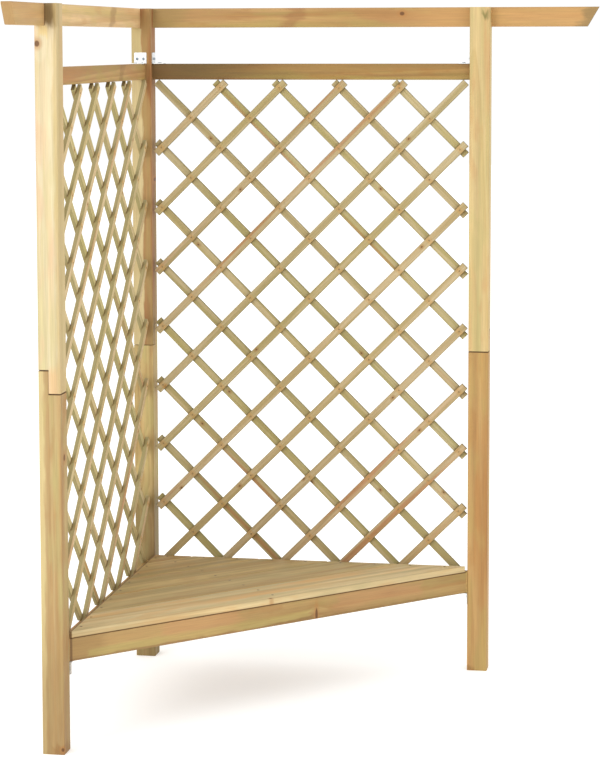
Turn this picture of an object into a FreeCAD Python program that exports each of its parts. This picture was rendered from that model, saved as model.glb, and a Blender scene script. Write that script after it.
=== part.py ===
# Corner arbour seat: three posts in an L, two trellis panels, top beams and a bench across the corner.
# Millimetres. +Z is up and the floor is Z = 0. The sitter looks out towards +X and -Y.
import FreeCAD
import Part
import math
import os

V = FreeCAD.Vector
UP = V(0, 0, 1)

# Overall height, and the bevel on the long edges of posts, beams and rails
HEIGHT = 2000.0
EASE = 2.0

# Posts: each is a lower and an upper part, half-lapped together
POST = 60.0
POST_SPACING = 1030.0
LAP_BELOW_MIDDLE = 28.0
LAP_LENGTH = 63.0
LAP_DEPTH = 28.0
LAP_END_GAP = 2.0

# Top beams
BEAM_THICK = 28.0
BEAM_HIGH = 58.0
BEAM_LENGTH = 1380.0
BEAM_SLANT = 34.0

# Mid rails under the beams and seat rails under the boards
RAIL_THICK = 28.0
MID_RAIL_HIGH = 48.0
MID_RAIL_BELOW_BEAM = 109.0
MID_RAIL_SET_IN = 14.0
SEAT_TOP = 320.0
SEAT_RAIL_HIGH = 64.0

# Bench; the apron's outer face lies a little behind the inner arrises of the front and right post
APRON_THICK = 28.0
APRON_SET_BACK = 3.0
BEARER_THICK = 28.0
BOARD_THICK = 18.0
REAR_BOARD_DEPTH = 82.0
BOARD_GAP = 3.0
BOARD_COUNT = 5
BOARD_OVERHANG = 2.0
BOARD_ROUND = 2.5
BOARD_TO_POST = 7.0
LEDGER_THICK = 28.0

# Trellis: crossings lie on a grid, and every other grid point carries a crossing
LATH_WIDE = 22.5
LATH_THICK = 10.5
LATH_EASE = 1.0
LATH_PAST_CROSSING = 24.0
LATH_TIP_FLAT = 0.5
TRELLIS_SET_IN = 27.5
TRELLIS_SIDE_GAP = 4.5
TRELLIS_COLUMNS = 10
TRELLIS_ROWS = 16
LAST_ROW_ABOVE_RAIL = 1.0

# Angle brackets and their screws; the seat's brackets have their post holes at two heights, so that
# the screws of the two brackets on the rear post miss each other
BRACKET_THICK = 2.0
BRACKET_WIDE = 38.0
BRACKET_POST_LEG = 34.0
BRACKET_RAIL_LEG = 36.0
BRACKET_BEND = 3.0
BRACKET_HOLE_PITCH = 19.6
BRACKET_POST_HOLE = 15.0
BRACKET_RAIL_HOLE = 20.0
BRACKET_STAGGER = 8.0
PAN_HEAD = 4.0
PAN_HEAD_TOP = 2.8
PAN_HIGH = 2.2
PAN_SHANK = 1.75
PAN_LENGTH = 20.0

# Countersunk screws; what is round on a screw is drawn with few sides
SUNK_HEAD = 4.5
SUNK_DEPTH = 2.6
SUNK_SHANK = 2.25
SUNK_LENGTH = 50.0
SCREW_SIDES = 8
BEAM_SCREW_INSET = 17.0
LEFT_BEAM_SCREWS_UP = 7.0
LAP_SCREW_INSET = 18.0
BOARD_SCREW_SPREAD = 0.5
LEDGER_SCREWS = 3
LEDGER_SCREWS_UP = 16.0

# Worked out from the sizes above
SPAN_START = POST
SPAN_END = POST_SPACING
PANEL_END = POST_SPACING + POST
BEAM_SHOULDER = HEIGHT - BEAM_HIGH
MID_RAIL_TOP = BEAM_SHOULDER - MID_RAIL_BELOW_BEAM
MID_RAIL_BOTTOM = MID_RAIL_TOP - MID_RAIL_HIGH
SEAT_RAIL_TOP = SEAT_TOP - BOARD_THICK
SEAT_RAIL_BOTTOM = SEAT_RAIL_TOP - SEAT_RAIL_HIGH
SEAT_RAIL_SET_IN = POST - RAIL_THICK
LAP_BOTTOM = HEIGHT / 2 - LAP_BELOW_MIDDLE
LAP_TOP = LAP_BOTTOM + LAP_LENGTH
LATH_CONTACT = TRELLIS_SET_IN + LATH_THICK
LEDGER_FACE = POST + LEDGER_THICK
APRON_OUT = PANEL_END / math.sqrt(2) - APRON_SET_BACK
BOARD_OUT = APRON_OUT + BOARD_OVERHANG
CORNER_OUT = POST * math.sqrt(2)
BOARD_PITCH = (BOARD_OUT - CORNER_OUT - REAR_BOARD_DEPTH) / (BOARD_COUNT - 1)
BOARD_WIDTH = BOARD_PITCH - BOARD_GAP
FAR = 2 * POST_SPACING
SHIFT = V(-(BEAM_LENGTH + BEAM_THICK) / 2, BEAM_LENGTH / 2, 0)


def box(low, high):
    """Box between two opposite corners."""
    return Part.makeBox(high[0] - low[0], high[1] - low[1], high[2] - low[2], V(*low))


def prism(points, along):
    """Straight prism on a closed outline of points."""
    ring = [V(*point) for point in points]
    return Part.Face(Part.makePolygon(ring + ring[:1])).extrude(V(*along))


def edges_along(shape, along):
    """Straight edges that run parallel to a direction."""
    edges = []
    for edge in shape.Edges:
        run = edge.Vertexes[-1].Point - edge.Vertexes[0].Point
        if run.cross(along).Length < 1e-6 * run.Length:
            edges.append(edge)
    return edges


def eased(shape, along):
    """Bevel the long edges of a planed piece."""
    return shape.makeChamfer(EASE, edges_along(shape, along))


def turned(shape, degrees, axis=UP):
    """Copy of a shape turned about an axis through the origin."""
    copy = shape.copy()
    copy.rotate(V(0, 0, 0), axis, degrees)
    return copy


def moved(shape, x, y, z):
    """Copy of a shape moved by three lengths."""
    copy = shape.copy()
    copy.translate(V(x, y, z))
    return copy


# A panel runs from the rear corner: "right" along +X, "left" along -Y. On both, s is the distance
# along the panel from the corner, t the distance inwards from its outer face.
PANELS = ("left", "right")
RUN = {"left": V(0, -1, 0), "right": V(1, 0, 0)}
INWARD = {"left": V(1, 0, 0), "right": V(0, -1, 0)}


def place(panel, s, t, z):
    """Point at s along a panel, t inwards and z up."""
    return RUN[panel] * s + INWARD[panel] * t + UP * z


def panel_box(panel, s, t, z):
    """Box over the ranges s, t and z of a panel."""
    first = place(panel, s[0], t[0], z[0])
    last = place(panel, s[1], t[1], z[1])
    low = [min(a, b) for a, b in zip(first, last)]
    high = [max(a, b) for a, b in zip(first, last)]
    return box(low, high)


def rail(panel, s, t, z):
    """Planed rail of a panel."""
    return eased(panel_box(panel, s, t, z), RUN[panel])


# Screws: pan-head ones for the brackets, countersunk ones for the wood


def ring(radius, z):
    """Corners of a regular outline round the Z axis."""
    turns = [2 * math.pi * number / SCREW_SIDES for number in range(SCREW_SIDES)]
    return [V(radius * math.cos(turn), radius * math.sin(turn), z) for turn in turns]


def ringed_solid(steps):
    """Closed solid through rings of (radius, z), from the top down."""
    rings = [ring(*step) for step in steps]
    faces = [Part.Face(Part.makePolygon(end + end[:1])) for end in (rings[0], rings[-1])]
    for above, below in zip(rings, rings[1:]):
        for a in range(SCREW_SIDES):
            b = (a + 1) % SCREW_SIDES
            corners = [above[a], above[b], below[b], below[a], above[a]]
            faces.append(Part.Face(Part.makePolygon(corners)))
    solid = Part.Solid(Part.Shell(faces))
    return solid if solid.Volume > 0 else solid.reversed()


def pan_screw():
    """Screw along -Z with its tapered head standing on Z = 0."""
    return ringed_solid([(PAN_HEAD_TOP, PAN_HIGH), (PAN_HEAD, 0), (PAN_SHANK, 0),
                         (PAN_SHANK, -PAN_LENGTH)])


def sunk_screw():
    """Countersunk screw along -Z with its flat head flush with Z = 0."""
    return ringed_solid([(SUNK_HEAD, 0), (SUNK_SHANK, -SUNK_DEPTH), (SUNK_SHANK, -SUNK_LENGTH)])


def driven(screw, point, outward):
    """Copy of a screw at a point, its head towards the outward direction."""
    copy = screw.copy()
    copy.Placement = FreeCAD.Placement(point, FreeCAD.Rotation(UP, outward))
    return copy


# Posts


def post_place(name):
    """Low corner of a post's section."""
    corners = {"front": (0, -PANEL_END), "rear": (0, -POST), "right": (POST_SPACING, -POST)}
    return corners[name]


def post_outward(name):
    """Side of a post that its lower part's tongue is on."""
    return "left" if name == "front" else "right"


def post_slice(name, panel, depth, bottom, top):
    """Slice of a post, from a panel's outer face inwards to a depth."""
    x, y = post_place(name)
    if panel == "left":
        return box((x, y, bottom), (x + depth, y + POST, top))
    return box((x, y + POST - depth, bottom), (x + POST, y + POST, top))


def post_parts(name, beam_panels, screws):
    """Lower and upper part of one post, with a thin gap at the ends of their tongues."""
    x, y = post_place(name)
    whole = eased(box((x, y, 0), (x + POST, y + POST, HEIGHT)), UP)
    rooms = []
    for gap in (0, LAP_END_GAP):
        outer = post_slice(name, post_outward(name), LAP_DEPTH, 0, LAP_TOP + gap)
        rooms.append(outer.fuse(box((x, y, 0), (x + POST, y + POST, LAP_BOTTOM + gap))))
    lower = whole.common(rooms[0])
    upper = whole.cut(rooms[1])
    for panel in beam_panels:
        upper = upper.cut(post_slice(name, panel, BEAM_THICK, BEAM_SHOULDER, HEIGHT))
    return lower.cut(screws), upper.cut(screws)


def lap_screws(name):
    """Two screws through the tongues of one post's splice, from the outer side."""
    x, y = post_place(name)
    screw = sunk_screw()
    heights = (LAP_BOTTOM + LAP_SCREW_INSET, LAP_TOP - LAP_SCREW_INSET)
    if post_outward(name) == "left":
        return [driven(screw, V(x, y + POST / 2, z), V(-1, 0, 0)) for z in heights]
    return [driven(screw, V(x + POST / 2, y + POST, z), V(0, 1, 0)) for z in heights]


# Top beams


def beam(panel):
    """Beam along the top of a panel, its free end slanted back towards the bottom. The right one
    butts against the left one over the rear post."""
    start = 0 if panel == "left" else BEAM_THICK
    end = start + BEAM_LENGTH
    outline = [place(panel, start, 0, BEAM_SHOULDER), place(panel, end - BEAM_SLANT, 0, BEAM_SHOULDER),
               place(panel, end, 0, HEIGHT), place(panel, start, 0, HEIGHT)]
    return eased(prism(outline, INWARD[panel] * BEAM_THICK), RUN[panel])


def beam_screws(panel):
    """Two screws at each of a beam's two posts, from the outer side."""
    screw = sunk_screw()
    posts = [POST - (POST - BEAM_THICK) / 2, POST_SPACING + POST / 2]
    heights = (BEAM_SHOULDER + BEAM_SCREW_INSET, HEIGHT - BEAM_SCREW_INSET)
    if panel == "left":
        heights = [z + LEFT_BEAM_SCREWS_UP for z in heights]
    return [driven(screw, place(panel, s, 0, z), INWARD[panel] * -1) for s in posts for z in heights]


# Trellis

LATH_REACH = (LATH_PAST_CROSSING + LATH_WIDE / 2) / math.sqrt(2) - LATH_TIP_FLAT
FIRST_COLUMN = SPAN_START + TRELLIS_SIDE_GAP + LATH_REACH
LAST_COLUMN = SPAN_END - TRELLIS_SIDE_GAP - LATH_REACH
COLUMN_PITCH = (LAST_COLUMN - FIRST_COLUMN) / TRELLIS_COLUMNS
TOP_ROW = MID_RAIL_BOTTOM - LATH_REACH
ROW_PITCH = (TOP_ROW - SEAT_RAIL_TOP - LAST_ROW_ABOVE_RAIL) / TRELLIS_ROWS


def crossing_ends(slope):
    """End crossings of each lath, as pairs of (row, column) from its upper to its lower end."""
    ends = []
    if slope > 0:
        for total in range(2, TRELLIS_ROWS + TRELLIS_COLUMNS, 2):
            high = max(0, total - TRELLIS_COLUMNS)
            low = min(TRELLIS_ROWS, total)
            ends.append(((high, total - high), (low, total - low)))
    else:
        for step in range(2 - TRELLIS_COLUMNS, TRELLIS_ROWS, 2):
            high = max(0, step)
            low = min(TRELLIS_ROWS, TRELLIS_COLUMNS + step)
            ends.append(((high, high - step), (low, low - step)))
    return ends


def crossing(panel, row, column, t):
    """Centre of a grid point at a depth t."""
    return place(panel, FIRST_COLUMN + column * COLUMN_PITCH, t, TOP_ROW - row * ROW_PITCH)


def lath(panel, t, upper, lower):
    """One lath between two crossings, trimmed to the frame's opening."""
    top = crossing(panel, *upper, t)
    foot = crossing(panel, *lower, t)
    along = (foot - top).normalize()
    across = along.cross(INWARD[panel])
    start = top - along * LATH_PAST_CROSSING
    run = along * ((foot - top).Length + 2 * LATH_PAST_CROSSING)
    half = LATH_WIDE / 2
    ease = LATH_EASE
    section = [(-half, ease), (ease - half, 0), (half - ease, 0), (half, ease),
               (half, LATH_THICK - ease), (half - ease, LATH_THICK),
               (ease - half, LATH_THICK), (-half, LATH_THICK - ease)]
    outline = [start + across * a + INWARD[panel] * b for a, b in section]
    return prism(outline, run)


def trellis(panel, layer):
    """All laths of one layer of a panel; the room-side ones rise towards the sitter's left."""
    slope = 1 if (panel == "right") == (layer == "room") else -1
    t = LATH_CONTACT if layer == "room" else TRELLIS_SET_IN
    opening = panel_box(panel, (SPAN_START, SPAN_END), (0, POST), (SEAT_RAIL_TOP, MID_RAIL_BOTTOM))
    return [lath(panel, t, *ends).common(opening) for ends in crossing_ends(slope)]


# Bench, in a frame turned by 45 degrees: "out" is the distance from the rear corner's line


def diagonal_bar(near, far, bottom, top):
    """Square-edged bar across the corner between two distances out, before it is turned."""
    return box((-FAR, -far, bottom), (FAR, -near, top))


def beyond(shape, t):
    """Part of a shape that lies further in than a distance t from both panels' outer faces."""
    return shape.common(box((t, -FAR, 0), (FAR, -t, HEIGHT)))


def apron():
    """Board under the seat's front edge, mitred to the inner faces of the seat rails."""
    bar = diagonal_bar(APRON_OUT - APRON_THICK, APRON_OUT, SEAT_RAIL_BOTTOM, SEAT_RAIL_TOP)
    return beyond(turned(eased(bar, V(1, 0, 0)), 45), POST)


def ledger(panel):
    """Strip along a seat rail's inner face that carries the boards, from the rear corner to the
    apron. The right one butts against the left one."""
    start = POST if panel == "left" else LEDGER_FACE
    strip = rail(panel, (start, PANEL_END), (POST, LEDGER_FACE), (SEAT_RAIL_BOTTOM, SEAT_RAIL_TOP))
    room = diagonal_bar(0, APRON_OUT - APRON_THICK, SEAT_RAIL_BOTTOM, SEAT_RAIL_TOP)
    return strip.common(turned(room, 45))


def ledger_screws(panel):
    """Screws through a ledger into its seat rail."""
    screw = sunk_screw()
    step = (SPAN_END - SPAN_START) / LEDGER_SCREWS
    spots = [place(panel, SPAN_START + (number + 0.5) * step, LEDGER_FACE,
                   SEAT_RAIL_BOTTOM + LEDGER_SCREWS_UP) for number in range(LEDGER_SCREWS)]
    return [driven(screw, spot, INWARD[panel]) for spot in spots]


def centre_bearer():
    """Bearer from the apron's inner face into the corner of the ledgers."""
    half = BEARER_THICK / 2
    bar = box((-half, APRON_THICK - APRON_OUT, SEAT_RAIL_BOTTOM), (half, 0, SEAT_RAIL_TOP))
    return beyond(turned(eased(bar, V(0, 1, 0)), 45), LEDGER_FACE)


def seat_outline():
    """Prism of the whole seat in plan, level with the posts' inner faces and clear of their ends."""
    end = POST_SPACING - BOARD_TO_POST
    return box((POST, -end, SEAT_RAIL_TOP), (end, -POST, SEAT_TOP))


def seat_boards():
    """Boards from the front edge to the rear corner; the last one is a small triangle."""
    outline = seat_outline()
    boards = []
    for number in range(BOARD_COUNT):
        far = BOARD_OUT - number * BOARD_PITCH
        near = far - BOARD_WIDTH if number < BOARD_COUNT - 1 else 0
        bar = diagonal_bar(near, far, SEAT_RAIL_TOP, SEAT_TOP)
        bar = bar.makeFillet(BOARD_ROUND, edges_along(bar, V(1, 0, 0)))
        boards.append(turned(bar, 45).common(outline))
    return boards


def board_screws():
    """Two screws to a board on each ledger and on the bearer; the last board has the ledgers only."""
    screw = sunk_screw()
    edge = (POST + LEDGER_FACE) / 2
    half_pitch = BOARD_WIDTH * BOARD_SCREW_SPREAD / 2
    rows = [CORNER_OUT + REAR_BOARD_DEPTH / 2]
    for number in range(BOARD_COUNT - 1):
        middle = BOARD_OUT - number * BOARD_PITCH - BOARD_WIDTH / 2
        rows += [middle - half_pitch, middle + half_pitch]
    screws = []
    for out in rows:
        across = out * math.sqrt(2)
        spots = [(edge, edge - across), (across - edge, -edge)]
        if out > rows[0]:
            spots.append((across / 2, -across / 2))
        screws += [driven(screw, V(x, y, SEAT_TOP), UP) for x, y in spots]
    return screws


# Angle brackets: modelled with the post on the plane X = 0 and the rail on the plane Z = 0


def bracket_screws(stagger):
    """Two screws into the post and two into the rail."""
    screw = pan_screw()
    half = BRACKET_HOLE_PITCH / 2
    screws = []
    for side in (-1, 1):
        high = BRACKET_POST_HOLE + side * stagger / 2
        screws.append(driven(screw, V(BRACKET_THICK, side * half, high), V(1, 0, 0)))
        screws.append(driven(screw, V(BRACKET_RAIL_HOLE, side * half, BRACKET_THICK), UP))
    return screws


def bracket():
    """Bent strip with one leg on the post and one on the rail."""
    half = BRACKET_WIDE / 2
    outline = [(0, -half, 0), (BRACKET_RAIL_LEG, -half, 0), (BRACKET_RAIL_LEG, -half, BRACKET_THICK),
               (BRACKET_THICK, -half, BRACKET_THICK), (BRACKET_THICK, -half, BRACKET_POST_LEG),
               (0, -half, BRACKET_POST_LEG)]
    strip = prism(outline, (0, BRACKET_WIDE, 0))
    inside = BRACKET_BEND - BRACKET_THICK
    for place_x, radius in ((0, BRACKET_BEND), (BRACKET_THICK, inside)):
        bend = [edge for edge in strip.Edges
                if all(abs(v.X - place_x) < 1e-6 and abs(v.Z - place_x) < 1e-6 for v in edge.Vertexes)]
        strip = strip.makeFillet(radius, bend)
    return strip


def bracket_set(t, z, upside_down, stagger):
    """Four brackets and their screws at the ends of the left and right rail."""
    plate = bracket()
    screws = bracket_screws(stagger)
    plate = plate.cut(Part.makeCompound(screws))
    plates = []
    fixings = []
    for panel in PANELS:
        for s, facing in ((SPAN_START, 1), (SPAN_END, -1)):
            heading = RUN[panel] * facing
            angle = math.degrees(math.atan2(heading.y, heading.x))
            spot = place(panel, s, t, z)
            for source, target in ((plate, plates), *((screw, fixings) for screw in screws)):
                piece = turned(source, 180, V(1, 0, 0)) if upside_down else source
                target.append(moved(turned(piece, angle), *spot))
    return plates, fixings


def save(name, shapes):
    """Write one node, moved so that the origin is at the middle of the footprint."""
    node = Part.makeCompound(shapes) if len(shapes) > 1 else shapes[0]
    node = node.copy()
    node.translate(SHIFT)
    node.exportStep("parts/%s.step" % name)


os.makedirs("parts", exist_ok=True)

mid_t = MID_RAIL_SET_IN + RAIL_THICK / 2
seat_t = SEAT_RAIL_SET_IN + RAIL_THICK / 2
mid_brackets, mid_screws = bracket_set(mid_t, MID_RAIL_TOP, False, 0)
seat_brackets, seat_screws = bracket_set(seat_t, SEAT_RAIL_BOTTOM, True, BRACKET_STAGGER)
top_screws = beam_screws("left") + beam_screws("right")
splice_screws = lap_screws("front") + lap_screws("rear") + lap_screws("right")
seat_top_screws = board_screws()
side_screws = ledger_screws("left") + ledger_screws("right")
all_screws = Part.makeCompound(mid_screws + seat_screws + top_screws + splice_screws
                               + seat_top_screws + side_screws)

for name, beam_panels in (("front", ["left"]), ("rear", PANELS), ("right", ["right"])):
    lower, upper = post_parts(name, beam_panels, all_screws)
    save(name + "_post_lower", [lower])
    save(name + "_post_upper", [upper])

for panel in PANELS:
    span = (SPAN_START, SPAN_END)
    mid_depth = (MID_RAIL_SET_IN, MID_RAIL_SET_IN + RAIL_THICK)
    seat_depth = (SEAT_RAIL_SET_IN, POST)
    mid_rail = rail(panel, span, mid_depth, (MID_RAIL_BOTTOM, MID_RAIL_TOP))
    seat_rail = rail(panel, span, seat_depth, (SEAT_RAIL_BOTTOM, SEAT_RAIL_TOP))
    save(panel + "_top_beam", [beam(panel).cut(all_screws)])
    save(panel + "_mid_rail", [mid_rail.cut(all_screws)])
    save(panel + "_seat_rail", [seat_rail.cut(all_screws)])
    save(panel + "_seat_ledger", [ledger(panel).cut(all_screws)])
    for layer in ("room", "outer"):
        save("%s_trellis_%s_laths" % (panel, layer), trellis(panel, layer))

save("seat_apron", [apron()])
save("seat_centre_bearer", [centre_bearer().cut(all_screws)])
for number, board in enumerate(seat_boards(), 1):
    save("seat_board_%d" % number, [board.cut(all_screws)])

save("mid_rail_brackets", mid_brackets)
save("mid_rail_bracket_screws", mid_screws)
save("seat_rail_brackets", seat_brackets)
save("seat_rail_bracket_screws", seat_screws)
save("beam_screws", top_screws)
save("splice_screws", splice_screws)
save("seat_board_screws", seat_top_screws)
save("seat_ledger_screws", side_screws)
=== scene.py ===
# Corner arbour seat of pressure-treated pine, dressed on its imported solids. Metres, +Z is up.
import math

import bpy
import numpy as np
from mathutils import Matrix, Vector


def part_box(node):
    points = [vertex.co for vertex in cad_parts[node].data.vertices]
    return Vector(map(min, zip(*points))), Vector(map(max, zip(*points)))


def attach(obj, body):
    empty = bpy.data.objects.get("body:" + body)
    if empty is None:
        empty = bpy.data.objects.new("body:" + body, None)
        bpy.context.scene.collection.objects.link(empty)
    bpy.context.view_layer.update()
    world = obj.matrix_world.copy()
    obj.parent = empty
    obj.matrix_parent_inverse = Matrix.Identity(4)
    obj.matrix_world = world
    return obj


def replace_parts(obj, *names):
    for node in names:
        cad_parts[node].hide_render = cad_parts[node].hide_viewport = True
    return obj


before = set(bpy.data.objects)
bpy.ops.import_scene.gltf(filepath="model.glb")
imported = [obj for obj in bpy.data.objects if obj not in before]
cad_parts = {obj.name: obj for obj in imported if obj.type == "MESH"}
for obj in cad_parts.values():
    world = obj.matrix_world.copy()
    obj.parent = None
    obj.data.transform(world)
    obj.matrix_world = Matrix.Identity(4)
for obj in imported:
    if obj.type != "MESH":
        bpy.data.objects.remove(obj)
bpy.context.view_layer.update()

# Studio: a camera with a long lens at head height, in front and a little to the right, as in the
# photograph. Its shift keeps the posts upright and the whole seat in the picture.
CAMERA_PLACE = (1.05011, -6.30939, 1.89606)
CAMERA_YAW, CAMERA_PITCH, CAMERA_ROLL = 0.17617, 0.09185, -0.00196
CAMERA_LENS, CAMERA_SHIFT = 110.945, -0.16

camera = bpy.data.objects.new("camera", bpy.data.cameras.new("camera"))
camera.data.lens = CAMERA_LENS
camera.data.shift_y = CAMERA_SHIFT
camera.matrix_world = (
    Matrix.Translation(CAMERA_PLACE)
    @ Matrix.Rotation(CAMERA_YAW, 4, "Z")
    @ Matrix.Rotation(math.pi / 2 - CAMERA_PITCH, 4, "X")
    @ Matrix.Rotation(CAMERA_ROLL, 4, "Z")
)
bpy.context.scene.collection.objects.link(camera)
bpy.context.scene.camera = camera
bpy.context.scene.view_settings.view_transform = "Standard"


def linear(hex_colour):
    """sRGB hex to linear: a channel c becomes ((c + 0.055) / 1.055) to the power 2.4, or c / 12.92
    when it is dark."""
    c = np.array([int(hex_colour[i:i + 2], 16) for i in (0, 2, 4)]) / 255
    c = np.where(c <= 0.04045, c / 12.92, ((c + 0.055) / 1.055) ** 2.4)
    return (*c.tolist(), 1.0)


def add(tree, kind, out=0, links={}, **settings):
    """Add a node, set it, set or link its inputs, and return one of its outputs."""
    node = tree.nodes.new(kind)
    for name, value in settings.items():
        setattr(node, name, value)
    for socket, value in links.items():
        if isinstance(value, bpy.types.NodeSocket):
            tree.links.new(value, node.inputs[socket])
        else:
            node.inputs[socket].default_value = value
    return node.outputs[out]


def blank_material(name):
    """New material with an empty node tree."""
    material = bpy.data.materials.new(name)
    material.use_nodes = True
    material.node_tree.nodes.clear()
    return material


def surfaced(material, **sockets):
    """Close a material with its shader; the sockets are named with _ for spaces."""
    links = {name.replace("_", " "): value for name, value in sockets.items()}
    shader = add(material.node_tree, "ShaderNodeBsdfPrincipled", links=links)
    output = material.node_tree.nodes.new("ShaderNodeOutputMaterial")
    material.node_tree.links.new(shader, output.inputs["Surface"])
    return material


# Floor and light: a matt white sweep under a white sky, one wide lamp to the left of the camera and
# a weaker one to the right, so that front faces are brightest and side faces fall off softly.
FLOOR_HALF = 30.0
FLOOR_GLOW = 0.35
SKY_STRENGTH = 1.02
LAMPS_AIM = np.array((0.0, 0.0, 0.9))
LAMPS = (("key_lamp", (-3.6, -5.2, 3.4), 2.6, 130), ("fill_lamp", (4.6, -3.4, 2.4), 2.4, 30))

floor_mesh = bpy.data.meshes.new("floor")
corners = FLOOR_HALF * np.array([(-1, -1, 0), (1, -1, 0), (1, 1, 0), (-1, 1, 0)])
floor_mesh.from_pydata(corners.tolist(), [], [(0, 1, 2, 3)])
floor = bpy.data.objects.new("floor", floor_mesh)
bpy.context.scene.collection.objects.link(floor)
floor_mesh.materials.append(surfaced(
    blank_material("matt_white_sweep"), Base_Color=linear("F4F4F2"), Roughness=0.95,
    Emission_Color=linear("FFFFFF"), Emission_Strength=FLOOR_GLOW))

sky = bpy.data.worlds.new("white_sky")
sky.use_nodes = True
sky.node_tree.nodes["Background"].inputs["Color"].default_value = (1, 1, 1, 1)
sky.node_tree.nodes["Background"].inputs["Strength"].default_value = SKY_STRENGTH
bpy.context.scene.world = sky

for name, place, size, power in LAMPS:
    lamp = bpy.data.objects.new(name, bpy.data.lights.new(name, "AREA"))
    lamp.data.size = size
    lamp.data.energy = power
    towards = LAMPS_AIM - np.array(place)
    tilt = math.acos(-towards[2] / np.linalg.norm(towards))
    lamp.rotation_euler = (tilt, 0, math.atan2(-towards[0], towards[1]))
    lamp.location = place
    bpy.context.scene.collection.objects.link(lamp)

# Posts: planed pine, 60 mm square, each in two parts half-lapped at mid height and screwed.
# Sapwood shows pale where the treatment is thin and tan where it is strong; knots break the grain.
SHIFT_X, SHIFT_Y = -0.704, 0.690
POST_HALF, POST_SPACING = 0.03, 1.03
LAP_BOTTOM, LAP_TOP = 0.972, 1.035
ALL = 9.0
WANDER, STREAKS, PATCHES, BLOTCHES = (1.1, 7, 7), (1.3, 34, 34), (1.6, 24, 24), (8, 28, 28)
BANDS, RAGGED, PINE_FIBRE = (0.8, 40, 40), (14, 60, 60), (11, 420, 420)
RAGGED_REACH = (0.09, 0.02, 0.02)
RING_TAPER, RING_UNEVEN, KNOT_SWELL = 0.012, 70.0, 1.4
# Seam boxes: dark joint lines, and at a few places painted shade where one part meets another.
SEAM_AND_SHADE_SOFT, SEAM_AND_SHADE_AMOUNT = 0.0012, 0.8
KNOT_BROWN, KNOT_HALO, SEAM_AND_SHADE_DARK = "5E3B1E", "A9743F", "6A4C2C"


def mapped(tree, value, low, high, start, end, shape="SMOOTHSTEP"):
    """Value from the range low..high to the range start..end."""
    links = {"Value": value, "From Min": low, "From Max": high, "To Min": start, "To Max": end}
    return add(tree, "ShaderNodeMapRange", links=links, interpolation_type=shape)


def sums(tree, kind, a, b=0.0, c=0.0):
    """One arithmetic step."""
    return add(tree, "ShaderNodeMath", links={0: a, 1: b, 2: c}, operation=kind)


def vector(tree, kind, a, b=(0, 0, 0), c=(0, 0, 0), out=0):
    """One step with vectors."""
    return add(tree, "ShaderNodeVectorMath", out=out, links={0: a, 1: b, 2: c}, operation=kind)


def blended(tree, amount, a, b, kind="MIX"):
    """Two colours mixed by an amount."""
    return add(tree, "ShaderNodeMix", out=2, links={0: amount, 6: a, 7: b}, data_type="RGBA",
               blend_type=kind)


def grain_noise(tree, grain, scale, seed, detail=2.0, out="Fac"):
    """Noise stretched by three scales, in features per metre along, across and through."""
    return add(tree, "ShaderNodeTexNoise", out=out, noise_dimensions="4D",
               links={"Vector": vector(tree, "MULTIPLY", grain, scale), "W": seed, "Scale": 1.0,
                      "Detail": detail})


def zone(along=(-ALL, ALL), across=(-ALL, ALL), through=(-ALL, ALL)):
    """Box in a piece's grain frame, from low..high ranges; one that is left out has no limit."""
    return (*along, *across, *through)


def in_box(tree, point, box, soft, amount):
    """Amount inside a box of three low..high ranges, fading out over a soft border: the distance
    outside is the largest of |point - middle| - half over the three axes."""
    low, high = np.array(box, float).reshape(3, 2).T
    away = vector(tree, "SUBTRACT", point, ((low + high) / 2).tolist())
    away = vector(tree, "SUBTRACT", vector(tree, "ABSOLUTE", away), ((high - low) / 2).tolist())
    parts = add(tree, "ShaderNodeSeparateXYZ", links={0: away}).node.outputs
    furthest = sums(tree, "MAXIMUM", sums(tree, "MAXIMUM", parts[0], parts[1]), parts[2])
    return mapped(tree, furthest, 0, soft, amount, 0)


def tinted(tree, colour, layers):
    """Tones laid over a colour one after another; a layer is an amount and a hex tone."""
    for amount, tone in layers:
        colour = blended(tree, amount, colour, linear(tone))
    return colour


def round_knots(tree, grain, reach, knots):
    """Swell the rings' reach round each knot, given by its place, roll and radius, and find the amounts
    of its dark core and of the tan halo round it."""
    core = halo = None
    for a, b, c, roll, size in knots:
        links = {"Vector": grain, "Location": (a, b, c), "Rotation": (roll, 0, 0),
                 "Scale": (1.25 * size, 3 * POST_HALF, size)}
        near = add(tree, "ShaderNodeMapping", links=links, vector_type="TEXTURE")
        away = vector(tree, "LENGTH", near, out="Value")
        long_way = vector(tree, "LENGTH", vector(tree, "MULTIPLY", near, (0.35, 1, 1)), out="Value")
        swell = mapped(tree, long_way, 0.4, 3.2, 1, 0)
        reach = sums(tree, "MULTIPLY_ADD", swell, KNOT_SWELL * size, reach)
        spot = mapped(tree, away, 0.6, 1.0, 1, 0)
        ring_round = mapped(tree, away, 0.9, 2.4, 1, 0)
        core = spot if core is None else sums(tree, "MAXIMUM", core, spot)
        halo = ring_round if halo is None else sums(tree, "MAXIMUM", halo, ring_round)
    return reach, core, halo


def late_wood(tree, reach, ring):
    """Amount of dark late wood: it rises slowly through each year and falls back at once, the years are
    uneven in width, and each has a strength of its own."""
    uneven = add(tree, "ShaderNodeTexNoise", noise_dimensions="1D",
                 links={"W": sums(tree, "MULTIPLY", reach, RING_UNEVEN), "Scale": 1.0, "Detail": 1.0})
    years = sums(tree, "ADD", sums(tree, "DIVIDE", reach, ring), uneven)
    season = sums(tree, "FRACT", years)
    dark = sums(tree, "MULTIPLY", mapped(tree, season, 0.25, 0.86, 0, 1),
                mapped(tree, season, 0.9, 1.0, 1, 0))
    strength = add(tree, "ShaderNodeTexWhiteNoise", noise_dimensions="1D",
                   links={"W": sums(tree, "FLOOR", years)})
    return sums(tree, "MULTIPLY", dark, mapped(tree, strength, 0, 1, 0.35, 1, "LINEAR"))


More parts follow.
